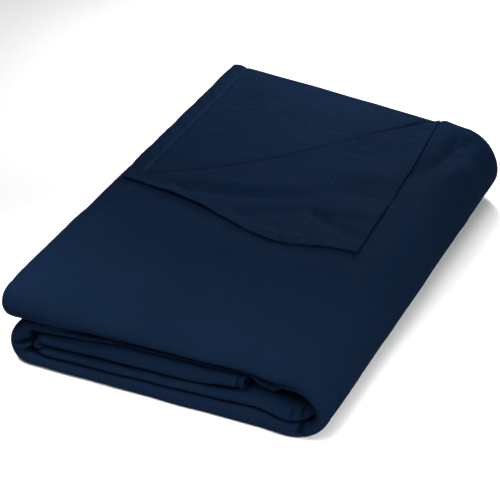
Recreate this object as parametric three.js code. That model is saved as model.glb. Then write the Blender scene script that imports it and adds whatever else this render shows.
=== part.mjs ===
// A flat bed sheet folded into a parcel. The cloth is folded in half twice, which makes a band of four plies
// with one closed nose at the front, and the band is folded over and over from the right into five legs.
// The far left corner of the top ply is turned back over itself. Hems are part of the cloth.
// Millimetres, +Z up, the closed nose towards -Y. The origin is in the middle of the underside.

import * as THREE from 'three';

// Cloth
const CLOTH_COLOUR = 0x12223c;
const PLY = 2;
const SIDE_HEM_WIDTH = 12.5;
const SIDE_HEM_THICKNESS = 3;
const FLAP_HEM_THICKNESS = 2.6;
const HEM_STEP = 1.5;

// Plan of the parcel: the front and back edges run a little askew, so the left side is the longer one
const LEFT = -131;
const RIGHT = 131;
const FRONT_AT_LEFT = -198.5;
const FRONT_AT_RIGHT = -182.5;
const BACK_AT_LEFT = 203.5;
const BACK_AT_RIGHT = 182;

// The five legs of the band from the top one inwards. Each bend gives the middle of the band, its thickness,
// how far its closed nose lies behind the front line, how deep the nose rounds over and how much it sags.
// tail is how far the leg's far edge is short of the back line.
const LEGS = [
  {
    name: 'top', tail: 0, stations: [-131, -118.5, -117, -95, -70, -45, 0, 40, 76, 90, 100],
    bends: [
      { x: -131, z: 54.9, band: 14.6, nose: 2, depth: 15, sag: 1.25 },
      { x: -45, z: 56.2, band: 13.6, nose: 2, depth: 15, sag: 1 },
      { x: 60, z: 56.3, band: 13.4, nose: 2, depth: 15, sag: 1 },
      { x: 100, z: 54, band: 12, nose: 2, depth: 13, sag: 0.4 },
    ],
  },
  {
    name: 'bottom', tail: 2, stations: [100, 0, -108],
    bends: [
      { x: 100, z: 5, band: 10, nose: 0, depth: 5, sag: 0 },
      { x: -108, z: 5, band: 10, nose: 0, depth: 5, sag: 0 },
    ],
  },
  {
    name: 'upper middle', tail: 3, stations: [-108, -94, -78, -62, -20, 60, 80, 101],
    bends: [
      { x: -108, z: 37, band: 10, nose: 6, depth: 5, sag: 0 },
      { x: -62, z: 43, band: 10, nose: 16, depth: 5, sag: 0 },
      { x: 60, z: 43.9, band: 10, nose: 16, depth: 5, sag: 0 },
      { x: 101, z: 38.6, band: 10, nose: 6, depth: 5, sag: 0 },
    ],
  },
  {
    name: 'lower middle', tail: 5, stations: [101, 60, 20, -94],
    bends: [
      { x: 101, z: 20, band: 10, nose: 2, depth: 5, sag: 0 },
      { x: 20, z: 17, band: 10, nose: 2, depth: 5, sag: 0 },
      { x: -94, z: 15.6, band: 10, nose: 2, depth: 5, sag: 0 },
    ],
  },
  {
    name: 'inner end', tail: 4, stations: [-94, -76, -58, -40, 20, 40, 62],
    bends: [
      { x: -94, z: 27.6, band: 10, nose: 3, depth: 6, sag: 0 },
      { x: -40, z: 30.7, band: 14, nose: 3, depth: 6, sag: 0 },
      { x: 20, z: 31, band: 14, nose: 3, depth: 6, sag: 0 },
      { x: 62, z: 32.8, band: 10.5, nose: 3, depth: 6, sag: 0 },
    ],
  },
];

// The folds between one leg and the next, as the reach of the curve out of the leg and back into the next
const FOLDS = [
  { name: 'outer right', side: 1, out: 29, back: 42, steps: 10 },
  { name: 'outer left', side: -1, out: 24, back: 13, steps: 8 },
  { name: 'inner right', side: 1, out: 13, back: 13, steps: 7 },
  { name: 'inner left', side: -1, out: 8, back: 8, steps: 7 },
];

// A slack nose sags in front of the leg below, and its upper side starts to round over well back
const SAG_ABOVE = 4;
const SAG_ABOVE_LENGTH = 32;
const SAG_BELOW = 7;
const SAG_BELOW_LENGTH = 15;

// Folds of the band itself
const NOSE_STEPS = 7;
const TURN_STEPS = 5;
const INNER_NOSE_BACK = 5.5;
const TURN_SHORT = 4;
const SECOND_PLY_SHORT = 1.5;
const SECOND_PLY_PROUD = 2.6;
const SECOND_PLY_PROUD_OVER = 30;

// The turned-back corner in plan. Its fold bows forward between the left edge and the far edge.
// Its tip lies front right.
const FOLD_LEFT = new THREE.Vector2(LEFT, -20);
const FOLD_FAR = new THREE.Vector2(76, 178);
const FOLD_BOW = 22;
const EDGE_LEFT = new THREE.Vector2(LEFT + 2, -26);
const TIP = new THREE.Vector2(88, -32);
const EDGE_BOW = 14;
const ROLL_RADIUS_LEFT = 1.5;
const ROLL_RADIUS = 2.6;
const ROLL_WIDENS_OVER = 0.2;
const ROLL_STEPS = 6;
const FLAP_RISE = 3.1;
const FLAP_SETTLES = 45;

const { clamp, lerp, smoothstep } = THREE.MathUtils;

function frontLine(x) {
  return lerp(FRONT_AT_LEFT, FRONT_AT_RIGHT, (x - LEFT) / (RIGHT - LEFT));
}

function backLine(x) {
  return lerp(BACK_AT_LEFT, BACK_AT_RIGHT, (x - LEFT) / (RIGHT - LEFT));
}

// A mix of two rows of a table or two stations, column by column
function mix(from, to, share) {
  const row = {};
  for (const key of ['z', 'band', 'nose', 'depth', 'sag']) {
    row[key] = lerp(from[key], to[key], share);
  }
  return row;
}

// The leg at x, eased from bend to bend
function alongLeg(leg, x) {
  const { bends } = leg;
  const way = Math.sign(bends[1].x - bends[0].x);
  let i = 0;
  while (i < bends.length - 2 && (x - bends[i + 1].x) * way > 0) {
    i += 1;
  }
  const share = clamp((x - bends[i].x) / (bends[i + 1].x - bends[i].x), 0, 1);
  return mix(bends[i], bends[i + 1], smoothstep(share, 0, 1));
}

function legStation(leg, x) {
  const reach = 0.5 * Math.sign(leg.bends[1].x - leg.bends[0].x);
  const rise = alongLeg(leg, x + reach).z - alongLeg(leg, x - reach).z;
  const along = new THREE.Vector2(2 * reach, rise).normalize();
  const onTop = leg === LEGS[0];
  return {
    ...alongLeg(leg, x),
    x,
    normal: new THREE.Vector2(-along.y, along.x),
    tail: leg.tail,
    hemmed: onTop && x < LEFT + SIDE_HEM_WIDTH + HEM_STEP / 2,
    flap: onTop && x <= FOLD_FAR.x,
  };
}

// Stations round a fold, on a curve that leaves one leg level and enters the next level
function foldStations(fold, from, to) {
  const curve = new THREE.CubicBezierCurve(
    new THREE.Vector2(from.x, from.z),
    new THREE.Vector2(from.x + fold.side * fold.out, from.z),
    new THREE.Vector2(to.x + fold.side * fold.back, to.z),
    new THREE.Vector2(to.x, to.z),
  );
  const stations = [];
  for (let i = 1; i < fold.steps; i += 1) {
    const share = i / fold.steps;
    const point = curve.getPoint(share);
    const along = curve.getTangent(share);
    stations.push({
      ...mix(from, to, share),
      x: point.x,
      z: point.y,
      normal: new THREE.Vector2(-along.y, along.x),
      tail: lerp(from.tail, to.tail, share),
      hemmed: false,
      flap: false,
    });
  }
  return stations;
}

// All stations of the band, from its left edge on top to its inner end
function bandStations() {
  const stations = [];
  LEGS.forEach((leg, i) => {
    const onLeg = leg.stations.map((x) => legStation(leg, x));
    if (i > 0) {
      stations.push(...foldStations(FOLDS[i - 1], stations[stations.length - 1], onLeg[0]));
    }
    stations.push(...onLeg);
  });
  return stations;
}

// Both faces of the cloth at a point of the band: y along the depth, w across the band.
// way is the run of the cloth there.
function bandPoint(station, y, w, way, { above = PLY / 2, below = PLY / 2, proud = 0 } = {}) {
  const x = station.x - proud * (1 - smoothstep(station.x, LEFT, LEFT + SECOND_PLY_PROUD_OVER));
  return [above, -below].map((offset) => {
    const depth = y + way.y * offset;
    const flat = w - way.x * offset;
    const height = flat / station.band + 0.5;
    const sag = station.sag * lerp(SAG_BELOW, SAG_ABOVE, height);
    const length = lerp(SAG_BELOW_LENGTH, SAG_ABOVE_LENGTH, height);
    const behind = depth - frontLine(station.x) - station.nose;
    const across = flat - sag * (1 - smoothstep(behind, 0, length));
    return new THREE.Vector3(x + station.normal.x * across, depth, station.z + station.normal.y * across);
  });
}

// The way through the band at one station, from the free far edge of the outer ply to that of the second ply
function bandSection(station) {
  const front = frontLine(station.x) + station.nose;
  const back = backLine(station.x) - station.tail;
  const noseStart = front + station.depth;
  const pitch = (station.band - PLY) / 3;
  const outer = 1.5 * pitch;
  const inner = 0.5 * pitch;
  const hem = station.hemmed ? SIDE_HEM_THICKNESS : PLY;
  const flush = { above: PLY / 2, below: hem - PLY / 2 };
  const full = { above: hem / 2, below: hem / 2 };
  const forwards = new THREE.Vector2(-1, 0);
  const backwards = new THREE.Vector2(1, 0);
  const points = [];

  const farEdge = station.flap ? flapFold(flapShare(station)).y : back;
  const sagAt = front + SAG_ABOVE_LENGTH;
  for (const y of [farEdge, lerp(farEdge, noseStart, 0.5), sagAt, lerp(sagAt, front, 0.3)]) {
    points.push(bandPoint(station, y, outer, forwards, flush));
  }
  for (let i = 0; i <= NOSE_STEPS; i += 1) {
    const turn = Math.PI * i / NOSE_STEPS;
    const way = new THREE.Vector2(-station.depth * Math.cos(turn), -outer * Math.sin(turn)).normalize();
    const y = noseStart - station.depth * Math.sin(turn);
    points.push(bandPoint(station, y, outer * Math.cos(turn), way, flush));
  }
  points.push(bandPoint(station, noseStart + SAG_BELOW_LENGTH, -outer, backwards, full));

  const turnAt = back - TURN_SHORT;
  for (let i = 0; i <= TURN_STEPS; i += 1) {
    const turn = Math.PI * i / TURN_STEPS;
    const way = new THREE.Vector2(Math.cos(turn), Math.sin(turn));
    const y = turnAt + inner * Math.sin(turn);
    points.push(bandPoint(station, y, -inner * (2 + Math.cos(turn)), way, full));
  }
  const innerNose = noseStart + INNER_NOSE_BACK;
  for (let i = 0; i <= TURN_STEPS; i += 1) {
    const turn = Math.PI * i / TURN_STEPS;
    const way = new THREE.Vector2(-Math.cos(turn), Math.sin(turn));
    const y = innerNose - inner * Math.sin(turn);
    points.push(bandPoint(station, y, -inner * Math.cos(turn), way, full));
  }
  const proud = station.flap ? SECOND_PLY_PROUD : 0;
  points.push(bandPoint(station, back - SECOND_PLY_SHORT, inner, backwards, { ...full, proud }));
  return points;
}

// How far along its fold the turned-back corner has got at a station of the top leg
function flapShare(station) {
  return (station.x - FOLD_LEFT.x) / (FOLD_FAR.x - FOLD_LEFT.x);
}

function flapFold(share) {
  const point = FOLD_LEFT.clone().lerp(FOLD_FAR, share);
  point.y -= FOLD_BOW * 4 * share * (1 - share);
  return point;
}

// The corner's hemmed free edge, which bows most at two thirds of its length
function flapEdge(share) {
  const point = EDGE_LEFT.clone().lerp(TIP, share);
  point.y -= EDGE_BOW * 6.75 * share * share * (1 - share);
  return point;
}

// The turned-back corner at one station: from its free edge back to its fold, then round the soft roll
function flapSection(station) {
  const share = flapShare(station);
  const fold = flapFold(share);
  const edge = flapEdge(share);
  const length = fold.distanceTo(edge);
  const hem = Math.min(SIDE_HEM_WIDTH, length / 2);
  const step = Math.min(HEM_STEP, hem / 4);
  const plain = length - hem - step;
  const settle = Math.min(FLAP_SETTLES, length);
  const roll = lerp(ROLL_RADIUS_LEFT, ROLL_RADIUS, smoothstep(share, 0, ROLL_WIDENS_OVER));
  const base = station.z + (station.band - PLY) / 2;
  const points = [];
  for (const [from, thickness] of [
    [length, FLAP_HEM_THICKNESS],
    [length - hem, FLAP_HEM_THICKNESS],
    [plain, PLY],
    [Math.min(settle, plain) / 2, PLY],
  ]) {
    const at = fold.clone().lerp(edge, from / length);
    const z = base + lerp(2 * roll, FLAP_RISE, smoothstep(from, 0, settle));
    const faces = [z - thickness / 2, z + thickness / 2];
    points.push(faces.map((height) => new THREE.Vector3(at.x, at.y, height)));
  }
  for (let i = 0; i < ROLL_STEPS; i += 1) {
    const turn = Math.PI * i / ROLL_STEPS;
    points.push([roll - PLY / 2, roll + PLY / 2].map((radius) => {
      const z = base + roll + radius * Math.cos(turn);
      return new THREE.Vector3(fold.x, fold.y + radius * Math.sin(turn), z);
    }));
  }
  return points;
}

// The closed skin of the cloth, station by station.
// Each point of a section is a pair: outer face, then inner face.
function sheetGeometry() {
  const positions = [];
  const indices = [];
  const stations = bandStations();
  const flapPoints = flapSection(stations[0]).length;
  const rows = stations.map((station) => {
    const pairs = station.flap ? [...flapSection(station), ...bandSection(station)] : bandSection(station);
    const first = station.flap ? 0 : flapPoints;
    const row = { first, last: first + pairs.length - 1, outer: [], inner: [] };
    pairs.forEach(([outer, inner], i) => {
      row.outer[first + i] = positions.length / 3;
      positions.push(outer.x, outer.y, outer.z);
      row.inner[first + i] = positions.length / 3;
      positions.push(inner.x, inner.y, inner.z);
    });
    return row;
  });
  const quad = (a, b, c, d) => indices.push(a, b, c, a, c, d);
  const closeEnd = (row, from, to) => {
    for (let k = from; k < to; k += 1) {
      quad(row.outer[k], row.outer[k + 1], row.inner[k + 1], row.inner[k]);
    }
  };
  for (let i = 0; i + 1 < rows.length; i += 1) {
    const [a, b] = [rows[i], rows[i + 1]];
    const first = Math.max(a.first, b.first);
    for (let k = first; k < a.last; k += 1) {
      quad(a.outer[k], a.outer[k + 1], b.outer[k + 1], b.outer[k]);
      quad(a.inner[k], b.inner[k], b.inner[k + 1], a.inner[k + 1]);
    }
    quad(a.outer[first], b.outer[first], b.inner[first], a.inner[first]);
    quad(a.outer[a.last], a.inner[a.last], b.inner[a.last], b.outer[a.last]);
    closeEnd(a, a.first, first);
  }
  const start = rows[0];
  for (let k = start.first; k < start.last; k += 1) {
    quad(start.outer[k], start.inner[k], start.inner[k + 1], start.outer[k + 1]);
  }
  const end = rows[rows.length - 1];
  closeEnd(end, end.first, end.last);
  const geometry = new THREE.BufferGeometry();
  geometry.setAttribute('position', new THREE.Float32BufferAttribute(positions, 3));
  geometry.setIndex(indices);
  return geometry;
}

// The cloth as one solid, with the origin brought to the middle of its underside
const geometry = sheetGeometry();
geometry.computeBoundingBox();
const { min, max } = geometry.boundingBox;
geometry.translate(-(min.x + max.x) / 2, -(min.y + max.y) / 2, -min.z);
geometry.computeVertexNormals();

const cloth = new THREE.MeshStandardMaterial({ color: CLOTH_COLOUR, roughness: 0.85, metalness: 0 });
const foldedSheet = new THREE.Mesh(geometry, cloth);
foldedSheet.name = 'folded_sheet';

const parcel = new THREE.Group();
parcel.add(foldedSheet);

export default parcel;
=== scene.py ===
import math

import bpy
import numpy as np
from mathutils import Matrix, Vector


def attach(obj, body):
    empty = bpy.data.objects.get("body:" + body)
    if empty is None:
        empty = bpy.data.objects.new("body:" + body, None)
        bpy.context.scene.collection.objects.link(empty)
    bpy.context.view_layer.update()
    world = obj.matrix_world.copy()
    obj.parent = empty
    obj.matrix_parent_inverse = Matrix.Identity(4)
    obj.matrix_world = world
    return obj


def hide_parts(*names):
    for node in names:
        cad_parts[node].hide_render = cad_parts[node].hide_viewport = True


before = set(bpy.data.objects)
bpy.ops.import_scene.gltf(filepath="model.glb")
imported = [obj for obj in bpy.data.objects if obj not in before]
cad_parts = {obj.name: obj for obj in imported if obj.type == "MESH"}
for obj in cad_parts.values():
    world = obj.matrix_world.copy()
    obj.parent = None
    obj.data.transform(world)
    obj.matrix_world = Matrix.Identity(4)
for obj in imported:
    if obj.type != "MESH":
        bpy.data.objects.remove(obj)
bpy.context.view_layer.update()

# The sheet: one hemmed cloth of plain-woven cotton, dyed navy. It is folded twice into a band of plies with a
# closed nose at the front, and the band is folded over and over from the right into five legs. The far left
# corner of the top ply is turned back, so its wrong side and both of its hems show.
MM = 0.001
PLY = 1.3
SIDE_HEM = 12.5
END_HEM = 57.0
HEM_EXTRA = 0.5
# Where the frame's origin lies in the parcel's own plan
MIDDLE = np.array([-0.76, 2.5, 0.0])

# The parcel in plan: its two ends, and its front and back lines
LEFT, RIGHT = -131.0, 131.0
FRONT_AT_LEFT, FRONT_AT_RIGHT = -198.5, -182.5
BACK_AT_LEFT, BACK_AT_RIGHT = 203.5, 182.0

# A leg's tail is how far its open edges stop short of the back line. Each of its bends: x, middle of the band,
# its thickness, swell of its inner side, nose behind the front line, depth of the nose, droop of the nose's
# upper side and sag of its lower side.
LEGS = {
    "top": {"tail": 0.0, "bends": [
        (-131, 54.9, 14.6, 0, 2, 13, 0.5, 1.7),
        (-98, 55.3, 14.2, 0, 2, 15, 0.9, 1.7),
        (-45, 56.2, 13.6, 0, 2, 15, 1.0, 1.15),
        (30, 56.4, 13.4, 0, 2, 15, 1.0, 0.9),
        (70, 56.2, 13.4, 0, 2, 15, 0.9, 0.75),
        (100, 54.0, 12.4, 0, 2, 13, 0.5, 1.7),
    ]},
    "bottom": {"tail": 2.0, "bends": [
        (100, 5.0, 10, 0.8, 0, 5, 0, 0),
        (76, 5.0, 10, 5.5, 0, 5, 0, 0),
        (40, 5.0, 10, 3.8, 0, 5, 0, 0),
        (-20, 5.0, 10, 2.3, 0, 5, 0, 0),
        (-108, 5.0, 10, 0.4, 0, 5, 0, 0),
    ]},
    "upper middle": {"tail": 3.0, "bends": [
        (-108, 34.6, 10, 0, 5, 5, 0, 0),
        (-75, 37.0, 9.4, 0, 5, 5, 0, 0),
        (-31, 41.2, 9, 0, 6, 5, 0, 0),
        (30, 42.4, 7.6, 0, 6.5, 4.5, 0, 0),
        (67, 42.8, 6.6, 0, 8, 4, 0, 0),
        (84, 34.2, 9.6, 2.2, 10, 5, 0, 0),
        (101, 36.8, 8.4, 0.4, 22, 6, 0, 0),
    ]},
    "lower middle": {"tail": 5.0, "bends": [
        (101, 16.5, 9.6, 3.4, 2, 8, 0, -0.5),
        (78, 21.2, 9.0, 1.0, 2, 7, 0, -0.2),
        (62, 20.4, 8.4, 1.4, 2, 5, 0, 0),
        (38, 18.8, 7.8, 0.4, 2, 5, 0, 0),
        (-10, 17.1, 7.2, 0, 2, 5, 0, 0),
        (-50, 16.0, 7.6, 0, 2, 5, 0, 0),
        (-94, 15.0, 8.6, 0, 2, 5, 0, 0),
    ]},
    "inner end": {"tail": 4.0, "bends": [
        (-94, 25.0, 10.2, 0, 3, 6, 0, 0),
        (-60, 27.3, 11.4, 0, 3, 6, 0, 0),
        (-25, 28.8, 14.0, 0, 3, 6, 0, 0),
        (20, 29.8, 13.8, 0, 3, 6, 0, 0),
        (66, 34.4, 8.8, 0, 3, 5, 0, 0),
    ]},
}
# Each fold from a leg to the next: side, reach out of the leg, reach back into the next, swell of its inner
# side, and steps round it
FOLDS = [
    (1, 29, 42, -5.6, 64),
    (-1, 24, 13, 9.0, 52),
    (1, 24.6, 23.4, 0.3, 60),
    (-1, 12, 11, -0.8, 36),
]

# The turned-back corner in plan: its fold from the left edge to the far edge, its free edge from the left to
# the tip, how far each bows and to which side the bow leans, and the bow of its end from the tip to the fold
FOLD_LEFT, FOLD_FAR = np.array([-126.0, -17.0]), np.array([76.0, 182.0])
FOLD_BOW, FOLD_LEAN = 31.0, 0.9
EDGE_LEFT, TIP = np.array([-124.0, -18.5]), np.array([88.2, -30.0])
EDGE_BOW, EDGE_LEAN = 17.0, 1.7
END_BOW = 1.5
# Where the wide end hem is sewn down, as a share of the corner's width
END_HEM_SHARE = 0.765
END_SEAM_X = LEFT + END_HEM_SHARE * (FOLD_FAR[0] - LEFT)

# Stations along the band lie closer together at the hems, at the fold's far end and at the inner end's tip
SIDE_HEM_X = LEFT + np.array([0, 0.5, 1.3, 2.5, 4, 6, 8, 10, 11.4, 12.6, 13.8, 15])
SEAM_OFFSETS = np.array([-3.0, -1.6, -0.7, 0.0, 0.7, 1.6, 3.0])
SEAM_ROOM = 4.0
PLAIN_FROM, PLAIN_STATIONS = LEFT + 17, 104
BEFORE_FOLD, AFTER_FOLD = 0.7, 0.6
PAST_FOLD, PAST_FOLD_STATIONS = 2.0, 11
LEG_STATIONS = {"bottom": 25, "upper middle": 29, "lower middle": 33}
INNER_PLAIN_END, INNER_STATIONS = 57.0, 22
INNER_TIP, INNER_TIP_STATIONS = 58.5, 9
# The columns of a station that hold its sizes, from the band's thickness to the tail
SIZES = slice(4, 11)


def ease(x, low, high):
    share = np.clip((x - low) / (high - low), 0.0, 1.0)
    return share * share * (3.0 - 2.0 * share)


def between(start, end, share):
    return start + (end - start) * share


def bell(off, width):
    """1 on a line, fading out softly beside it."""
    return np.exp(-(off / width) ** 2)


def front_line(x):
    return between(FRONT_AT_LEFT, FRONT_AT_RIGHT, (x - LEFT) / (RIGHT - LEFT))


def back_line(x):
    return between(BACK_AT_LEFT, BACK_AT_RIGHT, (x - LEFT) / (RIGHT - LEFT))


def along_leg(bends, x):
    """The sizes of a leg's bends at each x, eased from bend to bend."""
    rows = np.array(sorted(bends), float)
    i = np.clip(np.searchsorted(rows[:, 0], x, side="right") - 1, 0, len(rows) - 2)
    share = ease((x - rows[i, 0]) / (rows[i + 1, 0] - rows[i, 0]), 0.0, 1.0)
    return between(rows[i, 1:], rows[i + 1, 1:], share[:, None])


def leg_stations(name, start, end):
    """x of every station along a leg."""
    if name == "top":
        plain = np.linspace(PLAIN_FROM, FOLD_FAR[0] - BEFORE_FOLD, PLAIN_STATIONS)
        plain = plain[np.abs(plain - END_SEAM_X) > SEAM_ROOM]
        at_fold = [FOLD_FAR[0], FOLD_FAR[0] + AFTER_FOLD]
        past_fold = np.linspace(FOLD_FAR[0] + PAST_FOLD, end, PAST_FOLD_STATIONS)
        at_seam = END_SEAM_X + SEAM_OFFSETS
        return np.sort(np.concatenate([SIDE_HEM_X, plain, at_seam, at_fold, past_fold]))
    if name == "inner end":
        plain = np.linspace(start, INNER_PLAIN_END, INNER_STATIONS)
        return np.concatenate([plain, np.linspace(INNER_TIP, end, INNER_TIP_STATIONS)])
    return np.linspace(start, end, LEG_STATIONS[name])


def fold_stations(before, after, fold, leg_number):
    """The stations round the fold between two legs, on one smooth curve that reaches out to the side."""
    side, out, back, swell, steps = fold
    t = (np.arange(1, steps) / steps)[:, None]
    handles = [before[:2], before[:2] + [side * out, 0], after[:2] + [side * back, 0], after[:2]]
    weights = ((1 - t) ** 3, 3 * t * (1 - t) ** 2, 3 * t * t * (1 - t), t ** 3)
    point = sum(handle * weight for handle, weight in zip(handles, weights))
    run_weights = ((1 - t) ** 2, 2 * t * (1 - t), t * t)
    run = sum((handles[j + 1] - handles[j]) * weight for j, weight in enumerate(run_weights))
    run = run / np.linalg.norm(run, axis=1)[:, None]
    sizes = between(before[SIZES], after[SIZES], t)
    sizes[:, 1] += swell * np.sin(math.pi * t[:, 0]) ** 2
    return np.column_stack([point, -run[:, 1], run[:, 0], sizes, np.full(steps - 1, leg_number - 0.5)])


def band_stations():
    """x, z, normal's x and z, band, swell, nose, depth, droop, sag, tail and leg number of each station."""
    parts = []
    for number, (name, leg) in enumerate(LEGS.items()):
        bends = leg["bends"]
        start, end = bends[0][0], bends[-1][0]
        x = leg_stations(name, start, end)
        way = np.sign(end - start)
        rise = along_leg(bends, x + 0.5 * way)[:, 0] - along_leg(bends, x - 0.5 * way)[:, 0]
        slope = np.hypot(way, rise)
        sizes = along_leg(bends, x)
        tail = np.full_like(x, leg["tail"])
        numbers = np.full_like(x, number)
        here = np.column_stack([x, sizes[:, 0], -rise / slope, way / slope, sizes[:, 1:], tail, numbers])
        if number:
            parts.append(fold_stations(parts[-1][-1], here[0], FOLDS[number - 1], number))
        parts.append(here)
    return np.concatenate(parts)


X, Z, NX, NZ, BAND, SWELL, NOSE, DEPTH, DROOP, SAG, TAIL, LEG = band_stations().T
COUNT = len(X)
ARC = np.concatenate([[0.0], np.cumsum(np.hypot(np.diff(X), np.diff(Z)))])
TOP = LEG == 0
# The top leg and the big fold at its right end are the outside of the parcel
OUTSIDE = LEG < 1
IN_FLAP = TOP & (X <= FOLD_FAR[0] + 0.01)
FLAP = np.flatnonzero(IN_FLAP)
LAST_FLAP = FLAP[-1]
# Place along the outer ply, the same as x on the top leg and running on down the right side
ALONG = np.where(TOP, X, X[TOP][-1] + ARC - ARC[TOP][-1])

# How a soft fold fades in and out along its line, how round the bottom of a crease is, and how far the waves
# of a ripple are out of step
FADE_IN, FADE_OUT = (-0.12, 0.3), (0.7, 1.12)
CREASE_ROUND = 0.4
OUT_OF_STEP = 1.7


def soft_fold(x, y, row):
    """A soft ridge, or a sharper crease where height is negative, on a bowed line that fades at both ends."""
    x0, y0, x1, y1, width, height, bow, skew = row
    run = np.array([x1 - x0, y1 - y0])
    length = np.hypot(*run)
    t = ((x - x0) * run[0] + (y - y0) * run[1]) / length ** 2
    off = ((y - y0) * run[0] - (x - x0) * run[1]) / length - bow * 4 * t * (1 - t)
    far = np.abs(off) / (width * np.where(off > 0, 1 + skew, 1 - skew))
    ridge = height > 0
    shape = bell(far, 1.0) if ridge else np.exp(CREASE_ROUND - np.sqrt(far ** 2 + CREASE_ROUND ** 2))
    return height * ease(t, *FADE_IN) * (1 - ease(t, *FADE_OUT)) * shape


def ripple(x, lengths, start=0.0):
    """Soft uneven waves: a few wave lengths laid over each other."""
    waves = [np.sin(2 * math.pi * x / length + start + OUT_OF_STEP * i) for i, length in enumerate(lengths)]
    return sum(waves) / len(lengths)


# Soft folds of the outer ply: place along and across, place of the other end, width, height, bow, skew
TOP_FOLDS = [
    (91, 10, 88, 112, 7, -1.6, 1, 0.3),
    (100, -164, 150, -176, 5, 1.6, 6, 0.0),
    (102, -157, 152, -169, 4, -2.2, 6, 0.4),
    (84, 94, 111, 174, 6.5, -8.5, -2, 0.2),
    (98, 92, 126, 140, 8, 3.2, 0, 0.0),
    (84, 142, 98, 182, 6, 2.4, 0, 0.0),
    (-100, -126, 140, -84, 38, -7.2, 0, 0.3),
    (-84, -58, 66, -62, 15, 1.5, -5, 0.0),
    (-30, -96, 104, -66, 9, -0.9, 6, 0.3),
    (-116, -152, 0, -146, 15, 1.3, 4, 0.0),
    (6, -148, 104, -126, 13, 1.3, 5, 0.0),
    (104, -42, 142, -60, 5, 1.2, 3, 0.2),
    (106, -58, 146, -76, 5, -1.1, 3, 0.0),
    (108, -14, 140, -28, 6, -0.9, -2, 0.0),
    (106, 20, 148, 6, 8, 0.6, 2, 0.0),
    (110, 66, 150, 52, 9, -0.6, 2, 0.0),
    (104, -104, 140, -122, 9, 0.6, -3, 0.0),
    (110, -140, 150, -150, 7, -0.5, 2, 0.0),
    (112, 120, 156, 104, 10, 0.8, -3, 0.0),
]
# The same for the turned-back corner and for the second ply, in plan
FLAP_FOLDS = [
    (-102, -14, 34, 27, 5, -3.2, -9, 0.4),
    (-88, 2, 28, 38, 6, 1.8, -8, 0.0),
    (-34, -33, 36, 3, 5, -3.0, 0, 0.4),
    (-26, -20, 30, 13, 5, 1.4, 0, 0.0),
    (26, 6, 90, -15, 4.5, -3.3, -2, 0.4),
    (36, 8, 92, 24, 7, 2.4, 0, 0.0),
    (34, 36, 92, 50, 6, -3.0, 0, 0.4),
    (34, 60, 84, 84, 9, 1.6, 0, 0.0),
    (30, 88, 78, 124, 7, -1.4, 0, 0.0),
]
SECOND_FOLDS = [
    (-112, 132, -84, 158, 5, -0.8, 0, 0.0),
    (-119, 104, -92, 128, 6, -0.7, 0, 0.0),
    (-116, 70, -80, 96, 7, 0.6, 0, 0.0),
    (-96, 60, -24, 72, 7, -0.6, 3, 0.0),
    (-112, 34, -50, 50, 7, 0.6, 2, 0.0),
    (-70, 146, 0, 166, 9, 0.6, 2, 0.0),
    (-30, 120, 40, 142, 7, -0.5, 2, 0.0),
]
# Pinched pleats in the closed noses, in the plane of the front: x, z, x and z of the other end, width, depth
NOSE_PLEATS = [
    (110.6, 24, 110.6, 17, 1.1, 5.0),
    (103.4, 22, 102.4, 14.5, 1.3, 4.5),
    (112.8, 15, 110.2, 4.0, 2.2, 12.0),
    (-121, 17.0, -102, 25.0, 1.7, 7.0),
    (-109, 27, -95, 21.5, 1.1, 3.5),
    (-110, 20.5, -95, 20.5, 0.9, 3.0),
    (-108, 13, -95, 19.0, 1.1, 3.5),
    (86.4, 45, 84.6, 38, 1.4, 4.0),
    (-88, 37.2, 2, 42.6, 1.5, 6.0),
    (-74, 38.8, 116, 45.5, 1.5, 6.5),
    (61.0, 42, 61.0, 26, 0.9, 5.0),
    (63.8, 41, 63.8, 27, 0.8, 3.5),
]


def fold_line(share):
    """The turned-back corner's fold in plan."""
    point = between(FOLD_LEFT, FOLD_FAR, share[:, None])
    point[:, 1] -= FOLD_BOW * np.sin(math.pi * share ** FOLD_LEAN)
    return point


def free_edge(share):
    """The turned-back corner's free edge in plan."""
    point = between(EDGE_LEFT, TIP, share[:, None])
    point[:, 1] -= EDGE_BOW * np.sin(math.pi * share ** EDGE_LEAN) ** 2
    return point


# The top's near left corner is rounded over this length, by a share of it, and the noses wander a little
CORNER_ROUND, CORNER_ROUND_SHARE = 13.0, 0.22
NOSE_WANDER, NOSE_WAVES = 0.5, (83, 47, 131)
SHARE = (X - LEFT) / (FOLD_FAR[0] - LEFT)
IN_CORNER = np.where(TOP, np.clip(1 - (X - LEFT) / CORNER_ROUND, 0.0, 1.0), 0.0)
FRONT = front_line(X) + NOSE + NOSE_WANDER * ripple(ARC, NOSE_WAVES)
FRONT = FRONT + CORNER_ROUND_SHARE * CORNER_ROUND * (1 - np.sqrt(1 - IN_CORNER ** 2))
BACK = back_line(X) - TAIL
NOSE_START = FRONT + DEPTH
OUTER = (BAND - PLY) / 2
THICK = 2 * OUTER + SWELL
PITCH = THICK / 3
# The outer ply ends at the corner's fold, and past the fold's far end at the back line
TO_BACK_LINE = 4.0
past_fold = ease(X, FOLD_FAR[0], FOLD_FAR[0] + TO_BACK_LINE)
FAR_EDGE = np.where(TOP, between(FOLD_FAR[1], BACK, past_fold), BACK)
FAR_EDGE[FLAP] = fold_line(SHARE[FLAP])[:, 1]

# The inner plies turn behind the outer nose and inside the back line. The second ply stops a little short of
# the back, and its columns are close together from the line where it can show.
INNER_NOSE_BACK, TURN_SHORT = 5.5, 4.0
SECOND_PLY_SHORT, SECOND_SHOWS = 1.5, -34.0
# Its end hem's seam, which bends back towards the left edge
SECOND_SEAM, SEAM_BEND, SEAM_BEND_OVER = 131.5, 6.5, 22.0
SECOND_SEAM_ROOM = 5.0
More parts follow.
